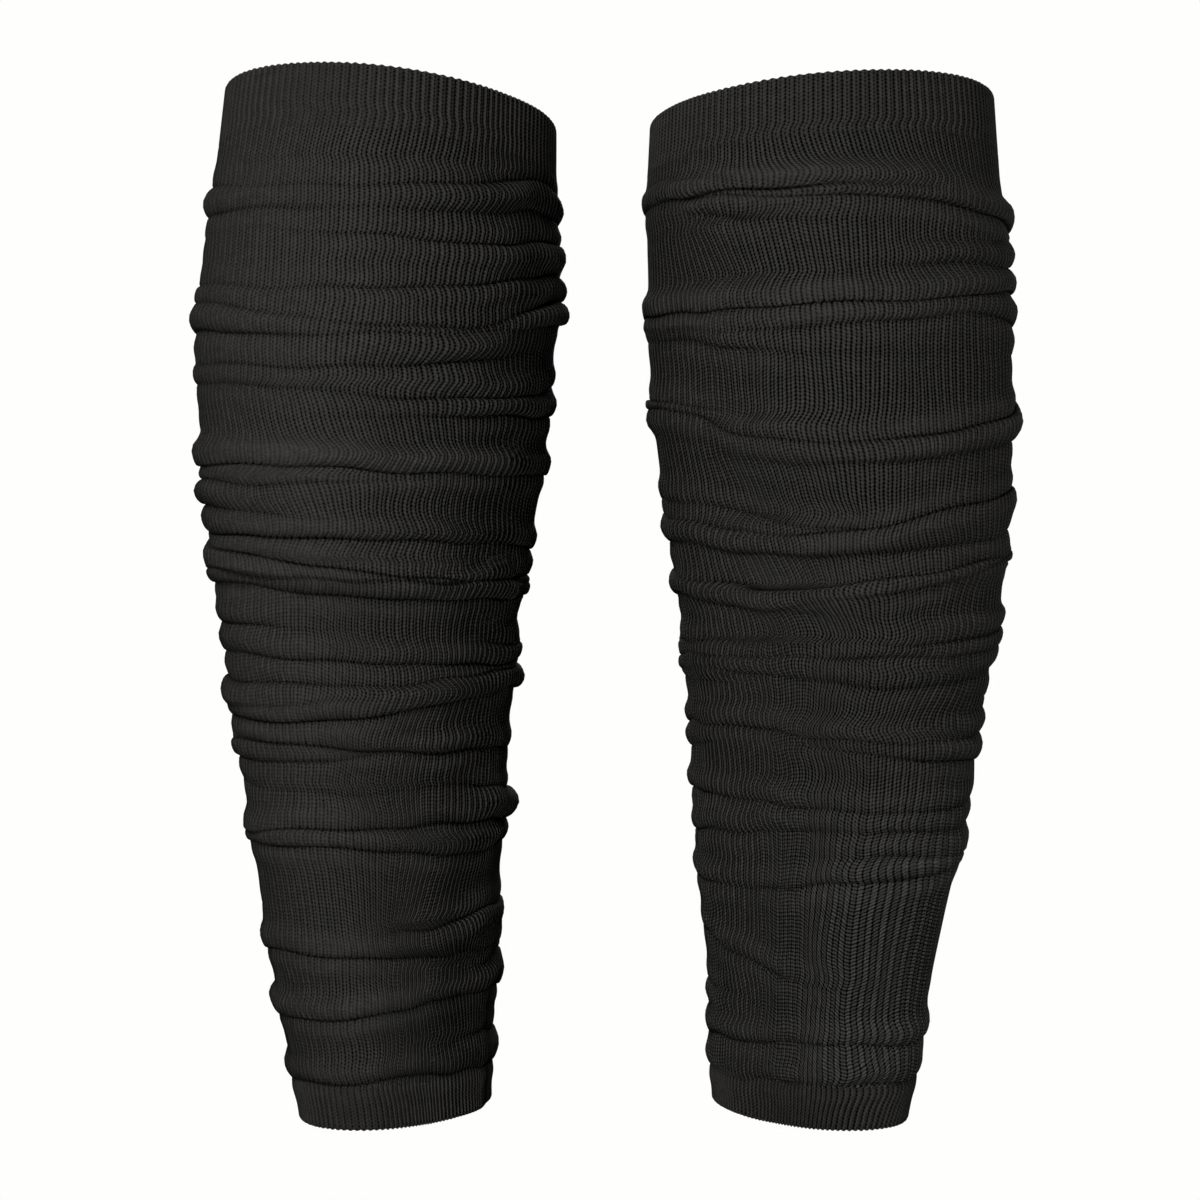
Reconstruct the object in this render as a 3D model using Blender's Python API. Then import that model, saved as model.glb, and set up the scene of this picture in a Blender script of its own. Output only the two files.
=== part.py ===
import math
from collections import namedtuple

import bpy
import numpy as np

# A pair of footless rib-knit leg sleeves, worn scrunched, filled out as on a leg.
# Each sleeve is a turned calf cuff, a knitted leg tube and a turned ankle cuff.
# Left and right are as seen from the front, looking along +Y. The origin is on the left
# leg's axis, half way down its calf cuff.

# Driving dimensions in metres. A drop is measured down the leg from the calf rim.
SLEEVE_LENGTH = 0.350
CALF_CUFF_HEIGHT = 0.020
ANKLE_CUFF_HEIGHT = 0.015
CALF_RIM_HEIGHT = CALF_CUFF_HEIGHT / 2
LEG_SPACING = 0.150
SEAM_GAP = 0.0003
TILT_FADE_DROP = 0.060          # the slant of the calf rim has died out this far down

KNIT_WALL = 0.0016              # one layer of rib knit
WELT_WALL = 0.0022              # the cuffs are turned back on themselves
INNER_FOLLOW = 0.55             # share of each fold that the inside of the wall follows

RIB_COUNT = 132                 # ribs round each sleeve
RIB_HEIGHT = 0.0006
CUFF_INNER_POINTS = 44          # a sixth of a cuff's outer points
TUBE_OUTER_POINTS = 34
TUBE_INNER_POINTS = 17
OVAL_STEPS = 1440               # steps in which the oval's length is measured out
SHARP_ANGLE = math.radians(50)  # edges sharper than this stay sharp when shaded

TOE_OUT = math.radians(33)      # each leg's long section axis turns this far out of -Y
FOLD_CREST = 0.006              # from a crease to the crest of its roll
FOLD_LIP = 0.0012               # from a crease to the lip that hangs over it
FOLD_VALLEY = 0.0008            # from a crease to the bottom of the tuck
LIP_SHARE = 0.8                 # height of the lip over that of the crest
DIP_SHARE = 0.25                # height between two folds over that of the rows beside it
HEM_ROLL = 0.0022               # how proud the last roll stands over the ankle cuff
HEM_EDGE = 0.0009               # how proud its edge is where the ankle cuff starts
MM = 0.001

# One section of the leg: its drop, its half width from the front, how far its middle
# lies to the right of the leg's axis, all in mm, and its length over its breadth.
Section = namedtuple("Section", "drop half_width shift aspect")

LEFT_SECTIONS = [
    Section(0, 56.7, 1.0, 1.25),
    Section(25, 58.3, -0.8, 1.25),
    Section(60, 60.9, -2.6, 1.24),
    Section(100, 60.0, -4.7, 1.23),
    Section(140, 55.9, -5.6, 1.25),
    Section(175, 50.2, -6.5, 1.28),
    Section(210, 46.6, -5.5, 1.30),
    Section(250, 42.7, -4.0, 1.34),
    Section(280, 39.6, -2.6, 1.36),
    Section(305, 36.8, -1.4, 1.38),
    Section(330, 34.0, 0.2, 1.41),
    Section(350, 32.7, 2.1, 1.42),
]
RIGHT_SECTIONS = [
    Section(0, 58.6, 0.3, 1.25),
    Section(25, 60.1, 0.6, 1.25),
    Section(60, 61.2, 2.1, 1.24),
    Section(100, 61.3, 3.9, 1.23),
    Section(140, 58.3, 5.3, 1.25),
    Section(175, 53.9, 6.4, 1.28),
    Section(210, 49.1, 5.3, 1.30),
    Section(250, 45.1, 3.7, 1.34),
    Section(280, 41.2, 1.1, 1.36),
    Section(305, 37.5, 0.0, 1.38),
    Section(330, 35.2, -1.3, 1.41),
    Section(350, 33.0, -2.8, 1.42),
]

# One fold round the leg. Its five drops and its five heights over the tight cloth, in mm,
# stand at these places round the leg. Its roll hangs down over the crease or laps up.
Fold = namedtuple("Fold", "hang drops proud")
PLACES = {"left": -90, "front_left": -30, "front_right": 30, "right": 90, "back": 180}

LEFT_FOLDS = [
    Fold("up", (29, 38, 34, 26, 28), (2.0, 0.8, 0.6, 2.5, 1.8)),
    Fold("up", (50, 51, 54, 46, 48), (1.5, 0.5, 0.8, 3.0, 2.0)),
    Fold("up", (63, 69, 68, 58, 60), (2.2, 1.0, 1.0, 2.6, 2.0)),
    Fold("down", (78, 84, 84, 74, 76), (3.0, 1.6, 1.3, 2.2, 2.4)),
    Fold("down", (97, 101, 105, 97, 97), (2.2, 1.1, 2.0, 2.4, 2.0)),
    Fold("down", (124, 126, 129, 126, 124), (3.0, 3.0, 2.8, 3.0, 2.8)),
    Fold("down", (145, 150, 152, 152, 148), (2.6, 2.6, 1.8, 2.2, 2.4)),
    Fold("down", (162, 167, 171, 170, 166), (3.0, 2.6, 2.6, 2.4, 2.6)),
    Fold("down", (187, 190, 193, 192, 190), (2.2, 1.6, 2.4, 2.8, 2.4)),
    Fold("down", (208, 211, 207, 202, 205), (3.0, 2.8, 2.0, 2.2, 2.4)),
    Fold("down", (223, 222, 222, 223, 221), (2.6, 2.0, 2.4, 1.5, 1.8)),
    Fold("down", (252, 249, 248, 248, 250), (2.6, 2.2, 2.2, 3.0, 2.4)),
    Fold("down", (288, 290, 291, 284, 285), (2.6, 2.4, 1.8, 2.6, 2.2)),
    Fold("down", (312, 311, 308, 307, 310), (3.0, 2.6, 2.6, 2.6, 2.6)),
]
RIGHT_FOLDS = [
    Fold("down", (33, 37, 42, 44, 37), (2.2, 2.4, 2.4, 3.0, 2.2)),
    Fold("down", (62, 63, 61, 55, 58), (0.4, 0.4, 1.4, 2.4, 1.4)),
    Fold("down", (72, 76, 73, 66, 68), (3.0, 2.8, 2.2, 2.6, 2.6)),
    Fold("down", (83, 88, 88, 84, 84), (1.2, 1.6, 0.8, 2.4, 1.6)),
    Fold("up", (104, 117, 117, 101, 105), (2.6, 2.0, 2.4, 3.0, 2.4)),
    Fold("up", (139, 150, 143, 131, 137), (2.0, 2.4, 2.6, 3.0, 2.4)),
    Fold("down", (151, 159, 154, 146, 149), (1.8, 2.0, 1.8, 1.6, 1.8)),
    Fold("down", (166, 171, 164, 157, 162), (2.4, 2.4, 2.6, 2.2, 2.2)),
    Fold("down", (186, 186, 185, 177, 182), (2.4, 1.6, 2.2, 3.0, 2.2)),
    Fold("down", (197, 198, 200, 192, 194), (1.6, 1.8, 2.0, 2.2, 1.8)),
    Fold("down", (215, 217, 219, 216, 216), (2.4, 2.2, 2.4, 2.4, 2.2)),
    Fold("down", (238, 240, 241, 237, 239), (2.6, 2.0, 2.0, 1.4, 1.8)),
    Fold("down", (252, 252, 254, 254, 253), (2.4, 1.6, 2.0, 2.8, 2.0)),
    Fold("down", (269, 268, 265, 264, 266), (2.2, 1.6, 2.2, 2.0, 1.8)),
    Fold("down", (323, 321, 320, 321, 323), (2.4, 1.8, 1.8, 2.4, 2.0)),
]

# One sleeve: where its leg stands, which way the leg turns out, the slope of its calf rim
# along X and Y, its sections and its folds.
Sleeve = namedtuple("Sleeve", "side x turn slope_x slope_y sections folds")
SLEEVES = [
    Sleeve("left", 0.0, -TOE_OUT, -0.042, -0.051, LEFT_SECTIONS, LEFT_FOLDS),
    Sleeve("right", LEG_SPACING, TOE_OUT, 0.020, -0.008, RIGHT_SECTIONS, RIGHT_FOLDS),
]

CHARCOAL_KNIT = {"color": (0.022, 0.021, 0.020, 1.0), "roughness": 0.90}
CHARCOAL_WELT = {"color": (0.026, 0.025, 0.024, 1.0), "roughness": 0.86}


def clear_scene():
    for item in list(bpy.data.objects):
        bpy.data.objects.remove(item, do_unlink=True)


def harmonics(angle):
    angle = np.asarray(angle, dtype=float)
    waves = [np.ones_like(angle), np.cos(angle), np.sin(angle), np.cos(2 * angle), np.sin(2 * angle)]
    return np.stack(waves, axis=-1)


def around(values, angle):
    # A smooth curve round the leg through the values at the five places.
    places = harmonics(np.radians(list(PLACES.values())))
    return harmonics(angle) @ np.linalg.solve(places, np.asarray(values, dtype=float))


def section_at(sleeve, drop):
    drops = [s.drop * MM for s in sleeve.sections]
    half_width = np.interp(drop, drops, [s.half_width * MM for s in sleeve.sections])
    shift = np.interp(drop, drops, [s.shift * MM for s in sleeve.sections])
    aspect = np.interp(drop, drops, [s.aspect for s in sleeve.sections])
    return half_width, shift, aspect


def ring_angles(sleeve, count):
    # Angles from -Y towards +X that cut the calf's oval into equal lengths of cloth.
    aspect = sleeve.sections[0].aspect
    turns = np.linspace(0.0, 2 * math.pi, OVAL_STEPS + 1)
    radius = aspect / np.hypot(np.cos(turns), aspect * np.sin(turns))
    steps = np.hypot(np.diff(radius * np.cos(turns)), np.diff(radius * np.sin(turns)))
    length = np.concatenate([[0.0], np.cumsum(steps)])
    even = np.linspace(0.0, length[-1], count, endpoint=False)
    return np.interp(even, length, turns) + sleeve.turn


def ring(sleeve, angles, drop, offset):
    # One ring of points on the leg, moved out by the offset.
    half_width, shift, aspect = section_at(sleeve, drop)
    breadth = half_width / np.sqrt(math.cos(TOE_OUT) ** 2 + (aspect * math.sin(TOE_OUT)) ** 2)
    length = aspect * breadth
    turn = angles - sleeve.turn
    radius = length * breadth / np.hypot(breadth * np.cos(turn), length * np.sin(turn)) + offset
    x = radius * np.sin(angles) + shift
    y = -radius * np.cos(angles)
    fade = np.clip(1.0 - drop / TILT_FADE_DROP, 0.0, 1.0)
    z = CALF_RIM_HEIGHT - drop + fade * (sleeve.slope_x * x + sleeve.slope_y * y)
    return np.stack([x, y, z], axis=-1)


def dip(upper, lower):
    # The row half way between two others, where the cloth lies nearly tight.
    return (upper[0] + lower[0]) / 2, DIP_SHARE * (upper[1] + lower[1])


def fold_rows(sleeve, angles, top, bottom):
    # Rows down the tube as pairs of drop and height: three at each fold, one between folds.
    drops = [around(fold.drops, angles) * MM for fold in sleeve.folds]
    proud = [np.clip(around(fold.proud, angles), 0.0, None) * MM for fold in sleeve.folds]
    level = np.zeros_like(angles)
    rows = [(level + top, level)]
    for index, fold in enumerate(sleeve.folds):
        above = drops[index - 1] if index else level + top
        below = drops[index + 1] if index + 1 < len(drops) else level + bottom
        here, height = drops[index], proud[index]
        if fold.hang == "down":
            crest = np.minimum(FOLD_CREST, (here - above) / 2)
            new = [(here - crest, height), (here - FOLD_LIP, LIP_SHARE * height), (here + FOLD_VALLEY, level)]
        else:
            crest = np.minimum(FOLD_CREST, (below - here) / 2)
            new = [(here - FOLD_VALLEY, level), (here + FOLD_LIP, LIP_SHARE * height), (here + crest, height)]
        rows += [dip(rows[-1], new[0])] + new
    hem = [(bottom - FOLD_CREST, HEM_ROLL), (bottom - FOLD_LIP, LIP_SHARE * HEM_ROLL), (bottom, HEM_EDGE)]
    new = [(level + drop, level + height) for drop, height in hem]
    return rows + [dip(rows[-1], new[0])] + new


def wall_mesh(name, outer, inner):
    # A closed wall between outer and inner rings, with more points outside than inside.
    rows, outer_count, inner_count = len(outer), len(outer[0]), len(inner[0])
    verts = [tuple(p) for loop in outer for p in loop] + [tuple(p) for loop in inner for p in loop]
    start = rows * outer_count

    def out(row, i):
        return row * outer_count + i % outer_count

    def into(row, j):
        return start + row * inner_count + j % inner_count

    faces = []
    for row in range(rows - 1):
        for i in range(outer_count):
            faces.append((out(row, i), out(row + 1, i), out(row + 1, i + 1), out(row, i + 1)))
        for j in range(inner_count):
            faces.append((into(row, j + 1), into(row + 1, j + 1), into(row + 1, j), into(row, j)))
    share = outer_count // inner_count
    for j in range(inner_count):
        for k in range(share):
            near = j if k < share / 2 else j + 1
            i = j * share + k
            faces.append((into(0, near), out(0, i), out(0, i + 1)))
            faces.append((into(rows - 1, near), out(rows - 1, i + 1), out(rows - 1, i)))
        middle = j * share + math.ceil(share / 2)
        faces.append((into(0, j), out(0, middle), into(0, j + 1)))
        faces.append((into(rows - 1, j + 1), out(rows - 1, middle), into(rows - 1, j)))
    mesh = bpy.data.meshes.new(name)
    mesh.from_pydata(verts, [], faces)
    mesh.update()
    mesh.shade_smooth()
    mesh.set_sharp_from_angle(angle=SHARP_ANGLE)
    return mesh


def material(name, finish):
    found = bpy.data.materials.get(name)
    if found:
        return found
    made = bpy.data.materials.new(name)
    made.use_nodes = True
    shader = made.node_tree.nodes["Principled BSDF"]
    shader.inputs["Base Color"].default_value = finish["color"]
    shader.inputs["Roughness"].default_value = finish["roughness"]
    shader.inputs["Metallic"].default_value = 0.0
    return made


def add_node(name, mesh, leg, finish_name, finish):
    piece = bpy.data.objects.new(name, mesh)
    piece.data.materials.append(material(finish_name, finish))
    piece.parent = leg
    bpy.context.collection.objects.link(piece)


def cuff(sleeve, name, top, bottom, leg):
    # A turned welt: its ribs are raised in its outer points over a plain inside.
    outer_angles = ring_angles(sleeve, 2 * RIB_COUNT)
    inner_angles = ring_angles(sleeve, CUFF_INNER_POINTS)
    ribs = np.where(np.arange(2 * RIB_COUNT) % 2 == 0, RIB_HEIGHT, 0.0)
    outer = [ring(sleeve, outer_angles, drop, ribs) for drop in (top, bottom)]
    inner = [ring(sleeve, inner_angles, drop, -WELT_WALL) for drop in (top, bottom)]
    mesh = wall_mesh(name, outer, inner)
    add_node(name, mesh, leg, "charcoal_welt", CHARCOAL_WELT)


def leg_tube(sleeve, name, top, bottom, leg):
    # The knitted tube: a wall whose rows follow the folds.
    outer_angles = ring_angles(sleeve, TUBE_OUTER_POINTS)
    inner_angles = ring_angles(sleeve, TUBE_INNER_POINTS)
    outer = [ring(sleeve, outer_angles, drop, height)
             for drop, height in fold_rows(sleeve, outer_angles, top, bottom)]
    inner = [ring(sleeve, inner_angles, drop, INNER_FOLLOW * height - KNIT_WALL)
             for drop, height in fold_rows(sleeve, inner_angles, top, bottom)]
    mesh = wall_mesh(name, outer, inner)
    add_node(name, mesh, leg, "charcoal_rib_knit", CHARCOAL_KNIT)


def build_sleeve(sleeve):
    leg = bpy.data.objects.new(sleeve.side + "_leg_axis", None)
    leg.location = (sleeve.x, 0.0, 0.0)
    bpy.context.collection.objects.link(leg)
    ankle_seam = SLEEVE_LENGTH - ANKLE_CUFF_HEIGHT
    half_gap = SEAM_GAP / 2
    cuff(sleeve, sleeve.side + "_calf_cuff", 0.0, CALF_CUFF_HEIGHT - half_gap, leg)
    leg_tube(sleeve, sleeve.side + "_leg_tube", CALF_CUFF_HEIGHT + half_gap, ankle_seam - half_gap, leg)
    cuff(sleeve, sleeve.side + "_ankle_cuff", ankle_seam + half_gap, SLEEVE_LENGTH, leg)


clear_scene()
for each_sleeve in SLEEVES:
    build_sleeve(each_sleeve)
bpy.context.view_layer.update()
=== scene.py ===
import math
from collections import namedtuple

import bpy
import numpy as np
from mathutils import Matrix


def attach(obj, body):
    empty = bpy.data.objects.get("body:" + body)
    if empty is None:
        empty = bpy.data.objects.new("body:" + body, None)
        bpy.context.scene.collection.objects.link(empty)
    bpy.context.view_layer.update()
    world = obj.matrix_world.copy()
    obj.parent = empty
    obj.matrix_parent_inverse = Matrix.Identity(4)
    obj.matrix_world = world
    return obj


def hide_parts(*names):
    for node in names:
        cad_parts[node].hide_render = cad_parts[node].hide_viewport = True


# The finish of a pair of scrunched rib-knit leg sleeves: two knitted tubes with their
# folds, four turned cuffs, the knit itself, the studio and the camera. Metres, +Z up.
# A drop is measured down the leg from the calf rim. A turn is measured round the leg
# from the front (-Y) towards +X.

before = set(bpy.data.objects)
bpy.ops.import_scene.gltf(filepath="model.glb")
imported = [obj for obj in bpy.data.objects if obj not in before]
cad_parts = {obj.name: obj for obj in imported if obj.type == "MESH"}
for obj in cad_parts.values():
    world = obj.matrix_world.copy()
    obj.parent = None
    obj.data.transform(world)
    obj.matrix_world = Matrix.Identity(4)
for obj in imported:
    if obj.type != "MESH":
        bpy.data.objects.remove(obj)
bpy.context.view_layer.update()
millimetre = 0.001
print("frame loaded:", len(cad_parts), "nodes")

sleeveCut = {
    "length": 0.350,            # calf rim to ankle rim, as worn
    "calfCuff": 0.020,
    "ankleCuff": 0.015,
    "calfGirth": 0.380,         # round the leg, which sets the spacing of the ribs
    "ankleGirth": 0.220,
    "legSpacing": 0.150,
    "toeOut": math.radians(33), # how far each leg's long section axis turns out of the front
    "rimSlopeFade": 0.060,      # the slant of the calf rim has died out this far down
    "ribs": 132,
    "seamSlant": 0.0015,        # the cuffs' seams are cut slanting, higher inside by this
    "seamGap": 0.00005,
    "sharpFrom": math.radians(60),      # edges that bend more are shaded sharp
}

# One section of the leg: drop, half width from the front, sideways shift of its middle,
# all in mm, and its length over its breadth.
Section = namedtuple("Section", "drop halfWidth shift aspect")

leftSections = [
    Section(0, 56.7, 1.0, 1.25),
    Section(25, 58.3, -0.8, 1.25),
    Section(60, 60.9, -2.6, 1.24),
    Section(100, 60.0, -4.7, 1.23),
    Section(140, 55.9, -5.6, 1.25),
    Section(175, 50.2, -6.5, 1.28),
    Section(210, 46.6, -5.5, 1.30),
    Section(250, 42.7, -4.0, 1.34),
    Section(280, 39.6, -2.6, 1.36),
    Section(305, 36.8, -1.4, 1.38),
    Section(330, 34.0, 0.2, 1.41),
    Section(350, 32.7, 2.1, 1.42),
]
rightSections = [
    Section(0, 58.6, 0.3, 1.25),
    Section(25, 60.1, 0.6, 1.25),
    Section(60, 61.2, 2.1, 1.24),
    Section(100, 61.3, 3.9, 1.23),
    Section(140, 58.3, 5.3, 1.25),
    Section(175, 53.9, 6.4, 1.28),
    Section(210, 49.1, 5.3, 1.30),
    Section(250, 45.1, 3.7, 1.34),
    Section(280, 41.2, 1.1, 1.36),
    Section(305, 37.5, 0.0, 1.38),
    Section(330, 35.2, -1.3, 1.41),
    Section(350, 33.0, -2.8, 1.42),
]

# One crease round the leg: its drop in mm and how strong it is at the left, front left,
# front right, right and back, and its lap in mm. Above 0 the roll over it hangs down
# over the crease, and below 0 the roll under it laps up.
Crease = namedtuple("Crease", "drops strength lap")
placeTurns = np.radians([-90, -30, 30, 90, 180])

leftCreases = [
    Crease((29, 38, 34, 26, 28), (.6, .25, .5, .5, .5), -1.2),
    Crease((40, 45, 43, 36, 38), (.5, .35, .3, .4, .4), 0.8),
    Crease((50, 51, 54, 46, 48), (.4, .1, .6, .9, .6), -1.4),
    Crease((63, 69, 68, 58, 60), (.6, .3, .5, .8, .6), -1.2),
    Crease((68, 77, 81, 67, 68), (.6, .3, .5, .9, .7), -1.2),
    Crease((78, 84, 84, 74, 76), (.9, .45, .35, .6, .7), 1.4),
    Crease((87, 95, 93, 84, 86), (.35, .4, .5, 0, .3), 0.6),
    Crease((97, 101, 105, 97, 97), (.6, .3, .55, .5, .5), 1.0),
    Crease((115, 112, 111, 106, 111), (.3, 0, .45, .9, .6), 1.2),
    Crease((124, 126, 129, 126, 124), (1, 1, .9, .9, .9), 2.0),
    Crease((128, 133, 132, 131, 130), (.5, .5, .1, 0, .2), -0.8),
    Crease((135, 143, 145, 145, 140), (.8, .35, .05, 0, .3), 1.0),
    Crease((145, 150, 152, 152, 148), (.8, .8, .5, .6, .7), 1.4),
    Crease((146, 158, 164, 165, 156), (.3, .8, .7, .4, .6), -1.2),
    Crease((160, 163, 166, 163, 162), (.6, .6, .7, .6, .6), 0.9),
    Crease((162, 167, 171, 170, 166), (.9, .8, .8, .7, .8), 1.6),
    Crease((178, 180, 184, 187, 182), (.9, .4, 0, .6, .4), 1.2),
    Crease((187, 190, 193, 192, 190), (.5, .5, .7, .8, .7), 1.4),
    Crease((197, 199, 199, 195, 195), (.5, .5, .45, .9, .6), -1.2),
    Crease((204, 206, 203, 201, 203), (.5, .4, .1, 0, .2), 0.5),
    Crease((208, 211, 207, 202, 205), (.9, .9, .6, .6, .7), 1.4),
    Crease((218, 219, 222, 223, 221), (.3, .6, .8, .5, .5), 1.2),
    Crease((224, 225, 221, 217, 221), (.8, .55, .1, 0, .3), 1.0),
    Crease((229, 235, 235, 238, 234), (0, .25, .3, .9, .4), -1.4),
    Crease((251, 248, 247, 248, 249), (.5, .6, .7, .9, .7), 1.2),
    Crease((255, 253, 257, 257, 257), (.9, .7, .6, .6, .6), 1.4),
    Crease((273, 280, 283, 279, 277), (.4, 0, .5, .9, .5), -1.6),
    Crease((288, 290, 292, 293, 291), (.8, .75, .4, .35, .5), 1.8),
    Crease((301, 305, 303, 297, 299), (.35, 0, 0, .5, .2), -0.6),
    Crease((312, 311.5, 308, 307, 310), (.9, .8, .8, .8, .8), 1.6),
    Crease((326, 326, 324, 323, 325), (.3, .1, .05, .5, .3), -0.6),
    Crease((337, 334, 333, 335, 337), (.6, .5, .5, .6, .5), 1.0),
]
rightCreases = [
    Crease((25, 32, 37, 37, 30), (.2, .4, .1, .4, .4), -0.8),
    Crease((32.5, 35.5, 39, 45, 40), (.6, .9, .4, 0, .3), 1.6),
    Crease((33, 38, 42.5, 44, 38), (0, .5, .8, .9, .6), 1.5),
    Crease((34, 45, 48, 50, 44), (0, .4, 0, 0, .3), 0.8),
    Crease((43, 54, 55, 47, 46), (0, 0, .15, .45, .3), -0.6),
    Crease((69, 65, 62, 56, 60), (0, 0, .45, .6, .4), 1.0),
    Crease((71, 75, 72, 64, 67), (.9, .9, .7, .9, .8), 1.8),
    Crease((77, 82.5, 79, 77, 77), (.2, .4, .5, .9, .6), 1.2),
    Crease((80, 89, 91, 86, 84), (.3, .5, .1, .5, .4), 0.8),
    Crease((101.5, 111, 116, 115, 108), (.6, .35, 0, 0, .3), -0.8),
    Crease((104, 117.5, 117, 101, 105), (.8, .6, .8, .9, .7), -1.4),
    Crease((120, 126, 124, 115, 119), (0, .3, .5, .4, .3), 1.2),
    Crease((136, 145, 150, 150, 146), (.5, .5, .1, 0, .3), 0.8),
    Crease((142, 150, 143, 130.5, 137), (.4, .7, .8, .9, .7), -1.6),
    Crease((150.5, 156.5, 153.5, 146, 149), (.5, .6, .5, .35, .5), 1.2),
    Crease((162, 168.5, 161.5, 154, 159), (.5, .7, .8, .6, .6), -1.4),
    Crease((172, 175, 165, 156, 165), (.1, .2, .7, .5, .4), 1.0),
    Crease((169, 175.5, 176, 172, 172), (.6, .4, .1, .3, .3), 0.9),
    Crease((185.5, 186, 185, 177, 182), (.5, .35, .6, .9, .6), 1.2),
    Crease((190, 190.5, 189.5, 185, 187), (.6, .5, .6, .7, .6), 1.0),
    Crease((195, 197, 199, 189, 192), (.4, .5, .5, .6, .5), 0.9),
    Crease((199, 201, 203, 204, 201), (.4, .1, .1, .5, .3), 0.7),
    Crease((212, 211, 209, 208, 210), (0, 0, .05, .45, .1), 0.6),
    Crease((214, 215.5, 218, 215, 215), (.6, .6, .6, .6, .6), 1.0),
    Crease((222, 219.5, 224, 223, 221), (.4, .2, .7, .7, .5), 1.2),
    Crease((238, 240, 241, 237, 239), (.7, .5, .5, .35, .5), 1.2),
    Crease((252, 249, 248, 245, 249), (.6, .4, .4, .1, .3), 1.0),
    Crease((255, 256, 257, 254, 255), (0, 0, .5, .9, .4), 1.2),
    Crease((269, 268.5, 263, 258, 263), (.6, .4, .6, .5, .5), 1.2),
    Crease((288.5, 298, 302, 302, 300), (.3, .45, 0, 0, 0), 0.8),
    Crease((307, 309, 309, 307, 308), (.45, 0, 0, .2, .2), -0.6),
    Crease((324, 321.5, 320.5, 321, 323), (.7, .5, .5, .7, .6), 1.2),
    Crease((337, 335, 334, 337, 337), (.5, .4, .4, .5, .4), 0.8),
]

# Where the ribs lean: the middle of the patch as a turn in degrees and a drop in mm, how
# far it reaches each way, and the lean in degrees, above 0 down to the right.
Lean = namedtuple("Lean", "turn spread drop reach degrees")

leftLeans = [
    Lean(0, 80, 22, 8, -8),
    Lean(50, 30, 31, 5, 18),
    Lean(0, 60, 113, 12, 14),
    Lean(-22, 28, 139, 9, 24),
    Lean(0, 60, 153, 5, -22),
    Lean(25, 35, 211, 10, -19),
    Lean(10, 60, 227, 6, -12),
    Lean(45, 35, 266, 14, -17),
    Lean(45, 30, 287, 8, 25),
    Lean(45, 30, 312, 9, 14),
]
rightLeans = [
    Lean(0, 80, 26, 9, 12),
    Lean(-44, 30, 55, 10, 22),
    Lean(-40, 35, 128, 16, 17),
    Lean(-30, 30, 159, 8, 24),
    Lean(-35, 35, 176, 8, 32),
    Lean(35, 30, 205, 10, -20),
    Lean(50, 30, 343, 8, -14),
]

# One sleeve: where its leg stands, which way the leg turns out, the slope of its calf rim along X and Y,
# its tables, how far every second rib opens low on the leg, in relief and with painted highlight, how
# dark the painted shade in its tucks is, how crisp the knit's painted shade and tone are at its upper
# left, lower left and right, and its seed.
Sleeve = namedtuple("Sleeve", "side x turnOut slopeX slopeY sections creases leans "
                              "lowOpen tuckShade crisp seed")
sleeves = [
    Sleeve("left", 0.0, -sleeveCut["toeOut"], -0.042, -0.051,
           leftSections, leftCreases, leftLeans, 0.08, 1.0, (0.50, 0.72, 1.75), 11),
    Sleeve("right", sleeveCut["legSpacing"], sleeveCut["toeOut"], 0.020, -0.008,
           rightSections, rightCreases, rightLeans, 1.0, 0.45, (1.05, 1.30, 1.10), 23),
]

foldForm = {
    "rollHeight": 0.0033,       # of the roll on the side that laps over
    "otherSide": 0.42,          # height of the roll on the other side, as a share of it
    "fullReach": 0.0040,        # from a crease to the top of a roll that has room
    "leastReach": 0.0011,
    "reachShare": 0.42,         # of the way to the next crease
    "rollWidth": 0.85,          # of the reach
    "lowering": 0.6,            # power by which a roll with less room is lower
    "emptyCrease": 0.012,       # a crease of no strength counts as this much further off
    "crossing": 0.0008,         # two creases this close count on both sides of each other
    "crossingEase": 0.6,        # how softly they change sides, as a share of it
    "tuckDepth": 0.0012,        # of the crease itself
    "tuckWidth": 0.0006,
    "tuckLine": 0.00060,        # half width of the line of painted shade in a tuck
    "lapWidth": 0.42,           # of the reach
    "lapMost": 0.95,            # of the reach
    "lapGain": 1.3,
    "scallop": 0.10,            # how much further the crests of the ribs lap, and their grooves less
    "wander": 0.0006,           # how far a crease strays from its smooth line
    "fading": 0.18,             # share by which its strength comes and goes
    "swell": 0.00035,           # soft unevenness of the cloth between creases
    "swellRun": 0.090,          # drop over which it changes
    "ribJump": 0.0009,          # how far the ribs are pushed sideways at a crease
    "jumpDrop": 0.0008,         # half the drop over which they are
    "ribWander": 0.0004,        # how far they stray between creases
    "wanderRun": 0.030,
    "ribCurl": 0.85,            # how far they curl sideways over a roll, as a share of its height
    "curlRun": 0.050,
    "leanEdge": 0.12,           # soft edge of a patch of leaning ribs, as a share of its reach
    "looseFrom": 0.006,         # from a cuff to where the ribs stray in full
}
wavesRound = {                  # how many waves go round the leg in each kind of unevenness
    "wander": (3, 5, 7, 11),
    "fading": (3, 4, 6, 9),
    "swell": (2, 3, 4, 5, 7, 8),
    "ribJump": (1, 2, 3, 5),
    "ribWander": (3, 5, 8, 12),
    "ribCurl": (1, 2, 4),
}


def harmonics(turn):
    # level, one wave and two waves round the leg
    parts = [np.ones_like(turn), np.cos(turn), np.sin(turn), np.cos(2 * turn), np.sin(2 * turn)]
    return np.stack(parts, -1)


def roundLeg(values, turn):
    # a smooth curve round the leg through the values at the five places
    return harmonics(turn) @ np.linalg.solve(harmonics(placeTurns), np.asarray(values, float))


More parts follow.
